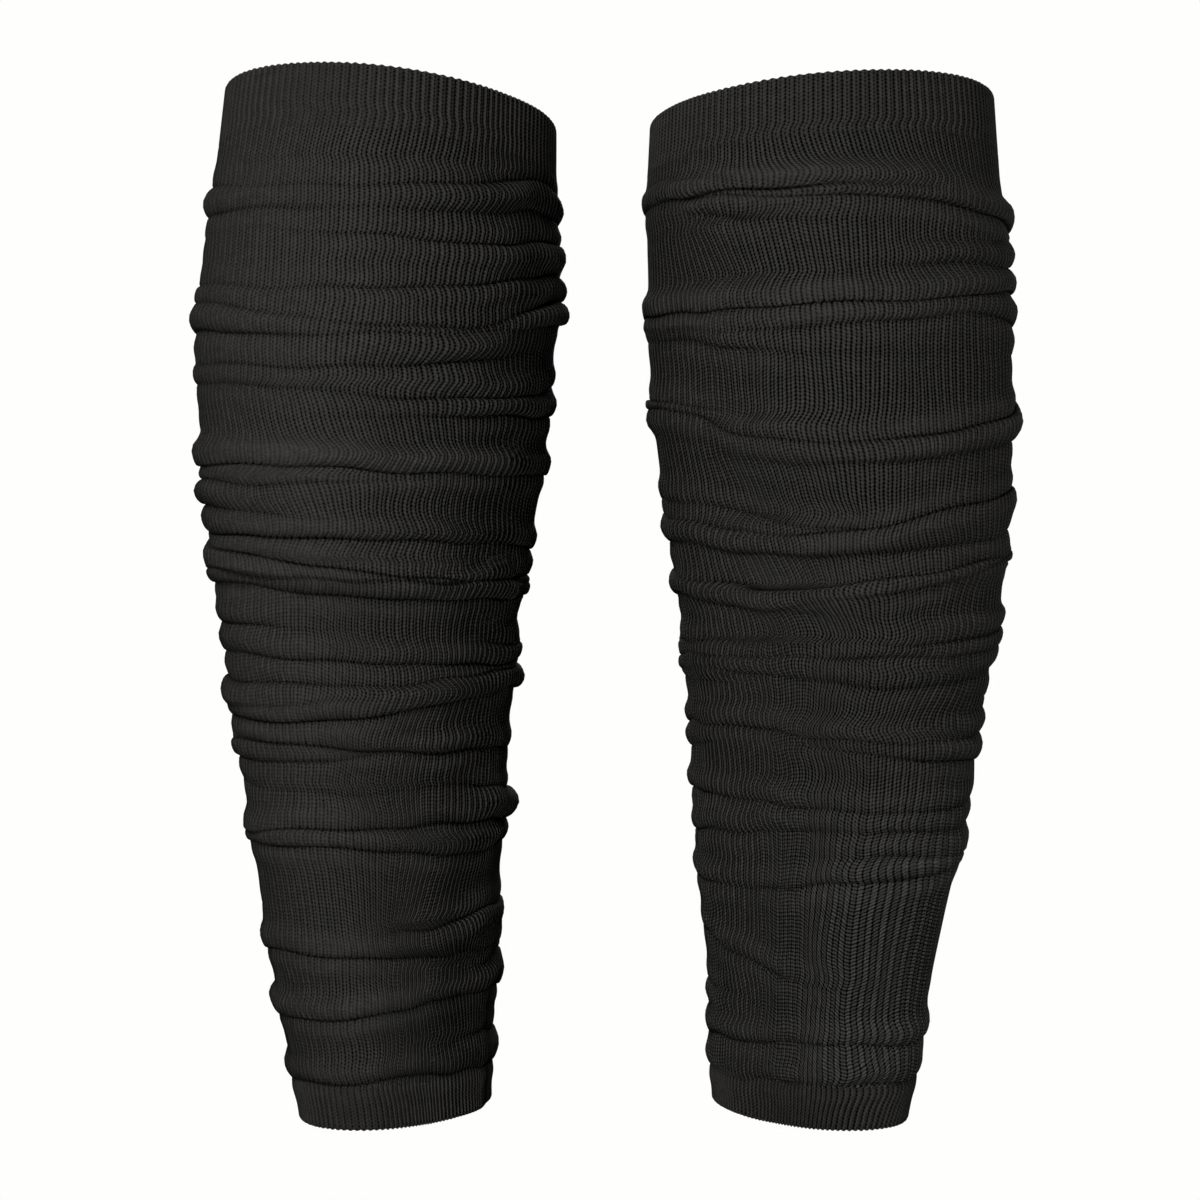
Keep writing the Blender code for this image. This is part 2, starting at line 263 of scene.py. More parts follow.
def smoothAlong(at, places, values):
    # a curve with smooth slopes through the sections
    places, values = np.asarray(places, float), np.asarray(values, float)
    slopes = np.gradient(values, places)
    index = np.clip(np.searchsorted(places, at) - 1, 0, len(places) - 2)
    step = places[index + 1] - places[index]
    t = (at - places[index]) / step
    start, end = values[index], values[index + 1]
    rise, fall = slopes[index] * step, slopes[index + 1] * step
    return (start * (1 + 2 * t) * (1 - t) ** 2 + rise * t * (1 - t) ** 2
            + end * t * t * (3 - 2 * t) + fall * t * t * (t - 1))


def bell(x):
    return np.exp(-x * x)


def unevenness(seed, turn, waves, drop=0.0, run=1.0):
    # a smooth, seeded wave round the leg, mostly between -1 and 1, which changes down the
    # leg over a run
    chance = np.random.default_rng(seed)
    total = 0.0
    for wave in waves:
        phase, slide = chance.uniform(0, 2 * math.pi), chance.uniform(-1, 1)
        total = total + np.sin(wave * turn + phase + 2 * math.pi * slide * drop / run)
    return total / math.sqrt(len(waves))


def turnOfWale(sleeve, wale):
    # the turn at which a rib stands, so that ribs share the calf's oval evenly
    aspect = sleeve.sections[0].aspect
    steps = np.linspace(0.0, 2 * math.pi, 4 * 360 + 1)      # four to a degree
    radius = aspect / np.hypot(np.cos(steps), aspect * np.sin(steps))
    pieces = np.hypot(np.diff(radius * np.cos(steps)), np.diff(radius * np.sin(steps)))
    length = np.concatenate([[0.0], np.cumsum(pieces)])
    share = wale / sleeveCut["ribs"]
    whole = np.floor(share)
    return np.interp((share - whole) * length[-1], length, steps) + 2 * math.pi * whole + sleeve.turnOut


def onLeg(sleeve, turn, drop, proud):
    # a point on the tight cloth, moved out by proud
    drops = [s.drop * millimetre for s in sleeve.sections]
    flat = np.clip(drop, drops[0], drops[-1])
    halfWidth = smoothAlong(flat, drops, [s.halfWidth * millimetre for s in sleeve.sections])
    shift = smoothAlong(flat, drops, [s.shift * millimetre for s in sleeve.sections])
    aspect = smoothAlong(flat, drops, [s.aspect for s in sleeve.sections])
    toeOut = sleeveCut["toeOut"]
    breadth = halfWidth / np.sqrt(math.cos(toeOut) ** 2 + (aspect * math.sin(toeOut)) ** 2)
    length = aspect * breadth
    own = turn - sleeve.turnOut
    radius = length * breadth / np.hypot(breadth * np.cos(own), length * np.sin(own)) + proud
    x = radius * np.sin(turn) + shift
    y = -radius * np.cos(turn)
    fade = np.clip(1.0 - drop / sleeveCut["rimSlopeFade"], 0.0, 1.0)
    z = sleeveCut["calfCuff"] / 2 - drop + fade * (sleeve.slopeX * x + sleeve.slopeY * y)
    return np.stack([x + sleeve.x, y, z], -1)


def creasesRound(sleeve, turn):
    # drop, strength, lap and reaches of each crease at each turn round the leg
    form = foldForm
    place = np.array([roundLeg(c.drops, turn) * millimetre for c in sleeve.creases])
    strength = np.array([np.clip(roundLeg(c.strength, turn), 0.0, 1.0) for c in sleeve.creases])
    for k in range(len(place)):
        seed = sleeve.seed * 100 + k        # each crease has two seeds, 50 apart
        place[k] += form["wander"] * unevenness(seed, turn, wavesRound["wander"])
        strength[k] *= 1 + form["fading"] * unevenness(seed + 50, turn, wavesRound["fading"])
    lap = np.array([c.lap for c in sleeve.creases])[:, None] * millimetre + 0 * place
    apart = place[:, None] - place[None]
    further = np.abs(apart) + form["emptyCrease"] * (1 - strength)[None]
    further[np.arange(len(place)), np.arange(len(place))] = 1.0     # a crease isn't its own neighbour

    def passed(gap):
        # 0 for a crease on that side, rising to 1 as it crosses over to the other
        return 0.5 - 0.5 * np.tanh((gap + form["crossing"]) / (form["crossingEase"] * form["crossing"]))

    up = (further + form["emptyCrease"] * passed(apart)).min(1)
    down = (further + form["emptyCrease"] * passed(-apart)).min(1)
    reachUp = np.clip(form["reachShare"] * up, form["leastReach"], form["fullReach"])
    reachDown = np.clip(form["reachShare"] * down, form["leastReach"], form["fullReach"])
    return place, strength, lap, reachUp, reachDown


def folded(sleeve, wales, turn, drop):
    # How the scrunched cloth stands off the leg at a drop along the tight cloth: its real drop, how proud
    # it is, how gathered, and how much painted shade it gets deep in a tuck. turn and drop are grids.
    form = foldForm
    scallop = 1 - form["scallop"] * np.cos(2 * math.pi * wales)
    proud = form["swell"] * unevenness(sleeve.seed, turn, wavesRound["swell"], drop, form["swellRun"])
    moved = drop + 0.0
    tuck = np.zeros_like(drop)
    gather = np.zeros_like(drop)
    for place, strength, lap, reachUp, reachDown in zip(*creasesRound(sleeve, turn[0])):
        hangs = lap > 0
        shareUp = np.where(hangs, 1, form["otherSide"])
        shareDown = np.where(hangs, form["otherSide"], 1)
        heightUp = form["rollHeight"] * (reachUp / form["fullReach"]) ** form["lowering"] * shareUp
        heightDown = form["rollHeight"] * (reachDown / form["fullReach"]) ** form["lowering"] * shareDown
        away = drop - place
        over = bell((away + reachUp) / (form["rollWidth"] * reachUp))
        under = bell((away - reachDown) / (form["rollWidth"] * reachDown))
        pinch = bell(away / form["tuckWidth"])
        proud += strength * (heightUp * over + heightDown * under - form["tuckDepth"] * pinch)
        side = np.where(hangs, -reachUp, reachDown)
        reach = np.abs(side)
        most = form["lapMost"] * reach
        shift = scallop * np.clip(form["lapGain"] * lap, -most, most)
        moved += strength * shift * bell((away - 0.5 * side) / (form["lapWidth"] * reach))
        # painted shade along the bottom of each tuck
        tuck = np.maximum(tuck, sleeve.tuckShade * strength * bell(away / form["tuckLine"]))
        gather = np.maximum(gather, strength * np.maximum(over, under))
    return moved, proud, gather, tuck


def waleSlip(sleeve, turn, drop):
    # how far the ribs have been pushed sideways, in metres: they lean right across each
    # patch and come back in the tucks above and below it
    slip = np.zeros_like(drop)
    for lean in sleeve.leans:
        around = np.angle(np.exp(1j * (turn - math.radians(lean.turn)))) / math.radians(lean.spread)
        along = (drop / millimetre - lean.drop) / lean.reach
        push = math.tan(math.radians(lean.degrees)) * lean.reach * millimetre
        inside = 0.5 * (1 - np.tanh((np.abs(along) - 1) / foldForm["leanEdge"]))
        slip += push * bell(around) * along * inside
    return slip


def ribJumps(sleeve, turn, drop):
    # the sideways steps of the ribs, hidden in the tucks, and their small wandering
    form = foldForm
    toCuff = np.minimum(drop - sleeveCut["calfCuff"], sleeveCut["length"] - sleeveCut["ankleCuff"] - drop)
    loose = np.clip(toCuff / form["looseFrom"], 0.0, 1.0)       # ribs run straight in the cuffs
    stray = unevenness(sleeve.seed + 7, turn, wavesRound["ribWander"], drop, form["wanderRun"])
    step = loose * form["ribWander"] * stray
    place, strength = creasesRound(sleeve, turn[0])[:2]
    for k in range(len(place)):
        push = unevenness(sleeve.seed * 1000 + k, turn[0], wavesRound["ribJump"])
        step += form["ribJump"] * strength[k] * push * np.tanh((drop - place[k]) / form["jumpDrop"])
    return step


def crowdedRows(sleeve, turn, top, bottom, shape):
    # drops down the tube, closer together at the creases, at each turn round the leg
    fine = np.linspace(top, bottom, shape["fineRows"])[:, None] + 0 * turn
    density = np.ones_like(fine)
    place, strength = creasesRound(sleeve, turn)[:2]
    for k in range(len(place)):
        near = bell((fine - place[k] + shape["crowdAbove"]) / shape["crowdWidth"])
        density += shape["crowding"] * strength[k] * near
    heap = np.concatenate([0 * fine[:1], np.cumsum((density[1:] + density[:-1]) / 2, axis=0)])
    heap /= heap[-1]
    wanted = np.linspace(0, 1, shape["outerRows"])
    return np.stack([np.interp(wanted, heap[:, j], fine[:, j]) for j in range(len(turn))], -1)


def clothRings(sleeve, wales, drops):
    # points of the folded cloth on a grid of ribs and drops, with what the finish reads
    turn = turnOfWale(sleeve, wales)[None] + 0 * drops
    calf, ankle = sleeveCut["calfGirth"], sleeveCut["ankleGirth"]
    girth = calf + (ankle - calf) * np.clip(drops / sleeveCut["length"], 0, 1)
    pitch = girth / sleeveCut["ribs"]
    moved, proud, gather, tuck = folded(sleeve, wales, turn, drops)
    swing = unevenness(sleeve.seed + 9, turn, wavesRound["ribCurl"], drops, foldForm["curlRun"])
    curl = foldForm["ribCurl"] * swing * proud
    pushed = (waleSlip(sleeve, turn, drops) + ribJumps(sleeve, turn, drops) + curl) / pitch
    leaning = turnOfWale(sleeve, wales[None] + pushed)
    return onLeg(sleeve, leaning, moved, proud), gather, tuck, leaning, proud


def torusMesh(name, rings, marks, uvs):
    # A closed wall from rings that run down the outside and back up the inside. marks are
    # values for each point, and uvs are the rib and course at each point.
    count, columns = rings.shape[:2]
    mesh = bpy.data.meshes.new(name)
    mesh.vertices.add(count * columns)
    mesh.vertices.foreach_set("co", rings.reshape(-1))
    row, column = np.meshgrid(np.arange(count), np.arange(columns), indexing="ij")
    nextRow, nextColumn = (row + 1) % count, (column + 1) % columns
    corners = np.stack([row * columns + column, nextRow * columns + column,
                        nextRow * columns + nextColumn, row * columns + nextColumn], -1).reshape(-1, 4)
    mesh.loops.add(corners.size)
    mesh.loops.foreach_set("vertex_index", corners.reshape(-1).astype(np.int32))
    mesh.polygons.add(len(corners))
    mesh.polygons.foreach_set("loop_start", np.arange(0, corners.size, 4, dtype=np.int32))
    mesh.update(calc_edges=True)
    for mark, values in marks.items():
        attribute = mesh.attributes.new(mark, "FLOAT", "POINT")
        attribute.data.foreach_set("value", values.reshape(-1).astype(np.float32))
    wale, course = uvs
    wrap = np.stack([column, column, column + 1, column + 1], -1).reshape(-1)
    rib = np.append(wale, sleeveCut["ribs"])[wrap]
    knit = np.stack([rib, course.reshape(-1)[corners.reshape(-1)]], -1)
    layer = mesh.uv_layers.new(name="knit")
    layer.uv.foreach_set("vector", knit.reshape(-1).astype(np.float32))
    mesh.shade_smooth()
    mesh.set_sharp_from_angle(angle=sleeveCut["sharpFrom"])
    return mesh


def courses(rings, height):
    # how many courses of knitting lie above each point, from the length of cloth
    steps = np.linalg.norm(np.diff(rings, axis=0), axis=-1)
    return np.concatenate([0 * steps[:1], np.cumsum(steps, axis=0)]) / height


def socketId(tree, name):
    return next(s.identifier for s in tree.interface.items_tree if s.name == name and s.in_out == "INPUT")


def addNode(tree, kind, **settings):
    node = tree.nodes.new(kind)
    for key, value in settings.items():
        setattr(node, key, value)
    return node


def maths(tree, operation, *values, clamp=False):
    # a Math node on sockets or numbers, and its output
    node = addNode(tree, "ShaderNodeMath", operation=operation, use_clamp=clamp)
    for index, value in enumerate(values):
        if isinstance(value, bpy.types.NodeSocket):
            tree.links.new(value, node.inputs[index])
        else:
            node.inputs[index].default_value = value
    return node.outputs[0]


def ribReliefTree():
    # Raises the ribs on a knitted wall, along each point's normal. The wale mark counts the
    # ribs, and the relief mark is the share of their height, which is less inside.
    tree = bpy.data.node_groups.new("Rib relief", "GeometryNodeTree")
    sockets = tree.interface
    sockets.new_socket("Geometry", in_out="INPUT", socket_type="NodeSocketGeometry")
    for name, value in tubeShape["ribs"].items():
        sockets.new_socket(name, in_out="INPUT", socket_type="NodeSocketFloat").default_value = value
    sockets.new_socket("Seed", in_out="INPUT", socket_type="NodeSocketInt")
    sockets.new_socket("Material", in_out="INPUT", socket_type="NodeSocketMaterial")
    sockets.new_socket("Geometry", in_out="OUTPUT", socket_type="NodeSocketGeometry")
    given, result = tree.nodes.new("NodeGroupInput"), tree.nodes.new("NodeGroupOutput")

    def mark(name):
        node = addNode(tree, "GeometryNodeInputNamedAttribute", data_type="FLOAT")
        node.inputs["Name"].default_value = name
        return node.outputs["Attribute"]

    wale, relief, low = mark("wale"), mark("relief"), mark("low")
    wave = maths(tree, "COSINE", maths(tree, "MULTIPLY", wale, 2 * math.pi))
    crest = maths(tree, "MULTIPLY", wave, -0.5)
    ribNumber = maths(tree, "FLOOR", wale)
    uneven = addNode(tree, "FunctionNodeRandomValue", data_type="FLOAT")
    uneven.inputs["Min"].default_value = -1.0
    uneven.inputs["Max"].default_value = 1.0
    toWhole = tree.nodes.new("FunctionNodeFloatToInt")
    tree.links.new(ribNumber, toWhole.inputs[0])
    tree.links.new(toWhole.outputs[0], next(s for s in uneven.inputs if s.name == "ID"))
    tree.links.new(given.outputs["Seed"], next(s for s in uneven.inputs if s.name == "Seed"))
    chance = next(s for s in uneven.outputs if s.enabled)
    spread = maths(tree, "MULTIPLY_ADD", chance, given.outputs["Unevenness"], 1.0)
    odd = maths(tree, "MULTIPLY_ADD", maths(tree, "PINGPONG", ribNumber, 1.0), 2.0, -1.0)
    second = maths(tree, "MULTIPLY", maths(tree, "MULTIPLY", odd, low), given.outputs["Every second rib"])
    height = maths(tree, "MULTIPLY", maths(tree, "ADD", spread, second), given.outputs["Rib height"])
    amount = maths(tree, "MULTIPLY", maths(tree, "MULTIPLY", crest, height), relief)
    normal = tree.nodes.new("GeometryNodeInputNormal")
    scale = addNode(tree, "ShaderNodeVectorMath", operation="SCALE")
    tree.links.new(normal.outputs["Normal"], scale.inputs[0])
    tree.links.new(amount, scale.inputs["Scale"])
    move = tree.nodes.new("GeometryNodeSetPosition")
    tree.links.new(given.outputs["Geometry"], move.inputs["Geometry"])
    tree.links.new(scale.outputs[0], move.inputs["Offset"])
    real = tree.nodes.new("GeometryNodeRealizeInstances")
    dress = tree.nodes.new("GeometryNodeSetMaterial")
    tree.links.new(move.outputs["Geometry"], real.inputs["Geometry"])
    tree.links.new(real.outputs["Geometry"], dress.inputs["Geometry"])
    tree.links.new(given.outputs["Material"], dress.inputs["Material"])
    tree.links.new(dress.outputs["Geometry"], result.inputs["Geometry"])
    return tree


def ribbed(name, mesh, tree, finish, ribs, seed):
    # the mesh with its ribs raised by the tree, as a plain mesh object
    raw = bpy.data.objects.new(name + "_smooth", mesh)
    bpy.context.scene.collection.objects.link(raw)
    modifier = raw.modifiers.new("Rib relief", "NODES")
    modifier.node_group = tree
    for inputName, value in ribs.items():
        modifier[socketId(tree, inputName)] = value
    modifier[socketId(tree, "Seed")] = seed
    modifier[socketId(tree, "Material")] = finish
    bpy.context.view_layer.update()
    evaluated = raw.evaluated_get(bpy.context.evaluated_depsgraph_get())
    plain = bpy.data.meshes.new_from_object(evaluated)
    raw.modifiers.clear()
    bpy.data.objects.remove(raw, do_unlink=True)
    plain.name = name
    piece = bpy.data.objects.new(name, plain)
    bpy.context.scene.collection.objects.link(piece)
    return piece


knitFinish = {
    "yarn": (0.0600, 0.0583, 0.0545),       # lit faces of the stitches
    "stretched": (0.1050, 0.1034, 0.0994),  # painted highlight on the proud ribs low on the leg
    "shade": (0.0016, 0.0015, 0.0015),      # painted shade between the stitches and deep in the tucks
    "roughness": 0.95,
    "gloss": 0.03,
    "ribDepth": 0.00045,
    "ribEdge": 4.0,                         # higher is flatter on top, with narrower grooves
    "stitchDepth": 0.00010,
    "holeDepth": 0.00030,
    "legSlant": 1.5,                        # courses that a stitch's leg rises across a rib
    "groove": 0.85,                         # painted shade in the groove between two ribs
    "parting": 0.75,                        # painted shade in the line down the middle of a rib
    "gap": 0.42,                            # painted shade between a stitch and the next one above
    "lowGap": 0.95,                         # the same, low on the leg
    "hole": 0.75,                           # painted shade in the hole in the groove, at each course
    "pin": 0.70,                            # painted shade in the small hole in the parting
    "tuck": 0.80,                           # painted shade deep in a tuck
    "speckle": 0.9,                         # how much one stitch differs from the next
    "courses": 0.00125,                     # height of one course of stitches
}
# the cuffs' knit: its shade, groove, parting, gap, lowGap, hole, pin and tuck are painted shade, and
# stretched is a painted highlight on the proud ribs
weltFinish = {
    "yarn": (0.0530, 0.0514, 0.0478),
    "stretched": (0.0600, 0.0586, 0.0550),
    "shade": (0.0030, 0.0029, 0.0028),
    "roughness": 0.95,
    "gloss": 0.03,
    "ribDepth": 0.00028,
    "ribEdge": 5.0,
    "stitchDepth": 0.00007,
    "holeDepth": 0.00015,
    "legSlant": 1.2,
    "groove": 0.62,
    "parting": 0.50,
    "gap": 0.25,
    "lowGap": 0.30,
    "hole": 0.80,
    "pin": 0.60,
    "tuck": 0.80,
    "speckle": 0.7,
    "courses": 0.00125,
}
stitchForm = {                              # what both knits share
    "grooveWidth": 0.16,                    # half widths, as shares of a rib
    "partingWidth": 0.14,
    "holeWidth": 0.24,
    "pinWidth": 0.18,
    "gapHeight": 0.32,                      # half heights, as shares of a course
    "holeHeight": 0.42,
    "pinHeight": 0.40,
    # the share of each mark that is lost where the cloth is gathered, and of a hole's depth
    "closing": {"groove": 0.5, "parting": 0.6, "gap": 0.6, "hole": 0.75, "pin": 0.8},
    "holeFilling": 0.8,
    "openGroove": 0.3,                      # share of the groove's painted shade lost low on the leg
    "partingDepth": 0.7,                    # of the rib's depth
    "proudDepth": 0.4,                      # how much deeper every second rib is low on the leg
    "proudLight": 0.35,                     # and how much lighter it is with painted highlight, and the others darker with painted shade
    "mottle": 0.6,                          # soft unevenness of the tone
    "mottleScale": 0.45,
    "mottleDetail": 3.0,
    "courseStray": 0.9,                     # how many courses the stitches stray with the mottle
    "speckleScale": 1.9,
    "speckleDetail": 1.0,
    "crispLight": 0.3,                      # how much lighter, with painted light, crisp knit is than blurred
}


def knitMaterial(name, look):
    # Rib knit drawn on the rib and course coordinates. Each rib is one column of V stitches. Between the
    # columns runs a groove with a hole at each course. Painted shade darkens the grooves, partings,
    # stitch gaps, holes and tucks, and proud ribs low on the leg get a painted highlight.
    form = stitchForm
    closing = form["closing"]
    material = bpy.data.materials.new(name)
    material.use_nodes = True
    tree = material.node_tree
    shader = tree.nodes["Principled BSDF"]
    shader.inputs["Roughness"].default_value = look["roughness"]
    shader.inputs["Specular IOR Level"].default_value = look["gloss"]

    def mark(word):
        return addNode(tree, "ShaderNodeAttribute", attribute_name=word).outputs["Fac"]

    def times(*values):
        total = values[0]
        for value in values[1:]:
            total = maths(tree, "MULTIPLY", total, value)
        return total

    def minus(a, b):
        return maths(tree, "SUBTRACT", a, b)

    def near(value, target, width):
        # 1 where value is at the target, falling to 0 a width away
        off = maths(tree, "ABSOLUTE", minus(value, target))
        return maths(tree, "SUBTRACT", 1.0, maths(tree, "DIVIDE", off, width), clamp=True)

    def nearCourse(shift, width):
        # 1 once in each course, at that share of it
        phase = maths(tree, "FRACT", maths(tree, "ADD", course, 0.5 - shift))
        return near(phase, 0.5, width)

    def less(amount, share, of):
        # amount, less that share of it where the other value is 1
        return times(amount, maths(tree, "MULTIPLY_ADD", of, -share, 1.0))

    knit = addNode(tree, "ShaderNodeUVMap", uv_map="knit")
    split = tree.nodes.new("ShaderNodeSeparateXYZ")
    tree.links.new(knit.outputs["UV"], split.inputs[0])
    rib, course = split.outputs["X"], split.outputs["Y"]
    gather, tuck, low, crisp = mark("gather"), mark("tuck"), mark("low"), mark("crisp")

    def noise(scale, detail):
        # soft noise over the knit, on both sides of 0
        texture = tree.nodes.new("ShaderNodeTexNoise")
        texture.inputs["Scale"].default_value = scale
        texture.inputs["Detail"].default_value = detail
        tree.links.new(knit.outputs["UV"], texture.inputs["Vector"])
        return minus(texture.outputs["Fac"], 0.5)

    stray = noise(form["mottleScale"], form["mottleDetail"])
    speckle = times(noise(form["speckleScale"], form["speckleDetail"]), look["speckle"])
    course = maths(tree, "MULTIPLY_ADD", stray, form["courseStray"], course)

    fromCrest = maths(tree, "ABSOLUTE", minus(maths(tree, "FRACT", rib), 0.5))
    fromGroove = minus(0.5, fromCrest)
    legs = maths(tree, "FRACT", maths(tree, "MULTIPLY_ADD", fromCrest, look["legSlant"], course))
    gap = near(legs, 0.5, form["gapHeight"])
    groove = near(fromGroove, 0.0, form["grooveWidth"])
    holeShift = (0.5 - look["legSlant"] / 2) % 1        # where the stitch gaps of two ribs meet
    hole = times(near(fromGroove, 0.0, form["holeWidth"]), nearCourse(holeShift, form["holeHeight"]))
    parting = near(fromCrest, 0.0, form["partingWidth"])
    pin = times(near(fromCrest, 0.0, form["pinWidth"]), nearCourse(0.5, form["pinHeight"]))

    ribNumber = maths(tree, "FLOOR", rib)
    odd = maths(tree, "MULTIPLY_ADD", maths(tree, "PINGPONG", ribNumber, 1.0), 2.0, -1.0)
    proudRib = times(odd, low)

    gapShown = maths(tree, "MULTIPLY_ADD", low, look["lowGap"] / look["gap"] - 1, 1.0)
    notLow = minus(1.0, low)            # low on the leg the ribs show no parting and no pins
    # painted shade in the grooves, partings, stitch gaps, holes and pins, and deep in the tucks
    grooveShown = less(less(groove, closing["groove"], gather), form["openGroove"], low)
    paintedShade = times(grooveShown, look["groove"])
    for word, amount in (("parting", times(parting, notLow)), ("gap", times(gap, gapShown)),
                         ("hole", hole), ("pin", times(pin, notLow))):
        shown = less(amount, closing[word], gather)
        paintedShade = maths(tree, "MULTIPLY_ADD", shown, look[word], paintedShade)
    paintedShade = maths(tree, "MULTIPLY_ADD", tuck, look["tuck"], times(paintedShade, crisp))
    paintedShade = maths(tree, "ADD", paintedShade, 0.0, clamp=True)

    def blend(factor, a, b):
        node = addNode(tree, "ShaderNodeMix", data_type="RGBA")
        for socket, value in ((node.inputs[0], factor), (node.inputs[6], a), (node.inputs[7], b)):
            if isinstance(value, bpy.types.NodeSocket):
                tree.links.new(value, socket)
            elif isinstance(value, tuple):
                socket.default_value = (*value, 1.0)
            else:
                socket.default_value = value
        return node.outputs[2]

    # low on the leg, most towards the right, every second rib gets a painted highlight
    ribLight = maths(tree, "MULTIPLY_ADD", odd, form["proudLight"], 1 - form["proudLight"])
    lit = blend(times(low, ribLight), look["yarn"], look["stretched"])
    mottled = tree.nodes.new("ShaderNodeHueSaturation")
    mottle = maths(tree, "ADD", maths(tree, "MULTIPLY_ADD", stray, form["mottle"], 1.0), speckle)
    crispShown = maths(tree, "MULTIPLY_ADD", crisp, form["crispLight"], 1 - form["crispLight"])
    tree.links.new(times(mottle, crispShown), mottled.inputs["Value"])
    tree.links.new(lit, mottled.inputs["Color"])
    tree.links.new(blend(paintedShade, mottled.outputs["Color"], look["shade"]), shader.inputs["Base Color"])

    def sunk(level, amount, depth):
        # the level, lower by the depth where the amount is 1
        return maths(tree, "MULTIPLY_ADD", amount, -depth, level)

    rise = minus(1.0, maths(tree, "POWER", maths(tree, "MULTIPLY", fromCrest, 2.0), look["ribEdge"]))
    proudShown = maths(tree, "MULTIPLY_ADD", proudRib, form["proudDepth"], 1.0)
    height = times(rise, look["ribDepth"], proudShown)
    height = sunk(height, times(parting, notLow), form["partingDepth"] * look["ribDepth"])
    height = sunk(height, less(times(gap, gapShown), closing["gap"], gather), look["stitchDepth"])
    height = sunk(height, less(hole, form["holeFilling"], gather), look["holeDepth"])
    height = times(height, crisp)
    bump = tree.nodes.new("ShaderNodeBump")
    bump.inputs["Strength"].default_value = 1.0
    bump.inputs["Distance"].default_value = 1.0
    tree.links.new(height, bump.inputs["Height"])
    tree.links.new(bump.outputs["Normal"], shader.inputs["Normal"])
    return material


tubeShape = {
    "columns": 264,             # two to a rib
    "outerRows": 346,
    "innerRows": 30,
    "crowding": 5.0,            # how much closer the rows stand at a full crease
    "crowdAbove": 0.0005,       # they are closest this far above it
    "crowdWidth": 0.0024,
    "fineRows": 1600,           # steps from which the rows are picked
    "wall": 0.0020,
    "innerFollow": 0.30,        # share of the folds that the inside follows
    "innerRelief": 0.3,         # share of the ribs' height there
    "innerGather": 0.6,         # how gathered the inside looks
    # what the rib tree is given: the height from groove to crest, how much it differs from
    # rib to rib, and how much more every second rib has low on the leg
    "ribs": {"Rib height": 0.00045, "Unevenness": 0.25, "Every second rib": 0.15},
    "cut": (0.24, 0.42),        # all round by length, before it was pulled on
}
cuffShape = {
    "columns": 1056,            # eight to a rib
    "outerRows": 16,
    "rimRows": 7,
    "innerRows": 7,
    "wall": 0.0022,
    "rimRelief": 0.6,           # share of the ribs' height left where the rim has turned in
    "innerRelief": 0.5,
    "lowShare": 0.5,            # how much of the tube's standing ribs it shows
    "ribs": {"Rib height": 0.00050, "Unevenness": 0.22, "Every second rib": 0.15},
    "calfCut": (0.29, 0.020),
    "ankleCut": (0.21, 0.015),
}
lowRibs = {
    "start": 0.225,             # drop at which every second rib begins to stand out
    "fade": 0.045,
    "turn": math.radians(30),   # where they do so most
    "spread": math.radians(50),
    "elsewhere": 0.15,
}


def lowMark(sleeve, turn, drops):
    # 0 on the calf, up to 1 low on the leg, where every second rib stands out, most of all towards the
    # right, in relief and with painted highlight
    fromRight = np.angle(np.exp(1j * (turn - lowRibs["turn"])))
    spread = lowRibs["elsewhere"] + (1 - lowRibs["elsewhere"]) * bell(fromRight / lowRibs["spread"])
    return np.clip((drops - lowRibs["start"]) / lowRibs["fade"], 0.0, 1.0) * spread * sleeve.lowOpen


def crispMark(sleeve, turn, drops):
    # how clearly the ribs and stitches stand out, from the left of the leg to its right: how much painted
    # shade and painted light the knit gets, following how the light falls across the leg, and how deep
    # its bump is
    upperLeft, lowerLeft, right = sleeve.crisp
    left = upperLeft + (lowerLeft - upperLeft) * np.clip(drops / sleeveCut["length"], 0.0, 1.0)
    return left + (right - left) * (0.5 + 0.5 * np.sin(turn)) ** 2


def legTube(sleeve, tree, finish):
    shape = tubeShape
    wales = np.arange(shape["columns"]) * sleeveCut["ribs"] / shape["columns"]
    top = sleeveCut["calfCuff"] + sleeveCut["seamGap"]
    bottom = sleeveCut["length"] - sleeveCut["ankleCuff"]
    turn = turnOfWale(sleeve, wales)
    outerDrops = crowdedRows(sleeve, turn, top, bottom, shape)
    outer, gather, tuck = clothRings(sleeve, wales, outerDrops)[:3]
    slant = sleeveCut["seamSlant"]
    innerDrops = np.linspace(bottom - slant, top - slant, shape["innerRows"])[:, None] + 0 * turn
    leaning, proud = clothRings(sleeve, wales, innerDrops)[3:]
    inner = onLeg(sleeve, leaning, innerDrops, shape["innerFollow"] * proud - shape["wall"])
    rings = np.concatenate([outer, inner])
    drops = np.concatenate([outerDrops, innerDrops])
    still = 0 * innerDrops
    marks = {
        "wale": wales[None] + 0 * drops,
        "relief": np.concatenate([0 * outerDrops + 1, still + shape["innerRelief"]]),
        "gather": np.concatenate([gather, still + shape["innerGather"]]),
        "tuck": np.concatenate([tuck, still]),
        "low": lowMark(sleeve, turn[None], drops),
        "crisp": crispMark(sleeve, turn[None], drops),
    }
    mesh = torusMesh(sleeve.side + "_tube", rings, marks, (wales, courses(rings, knitFinish["courses"])))
    return ribbed(sleeve.side + "_knit_tube", mesh, tree, finish, shape["ribs"], sleeve.seed)


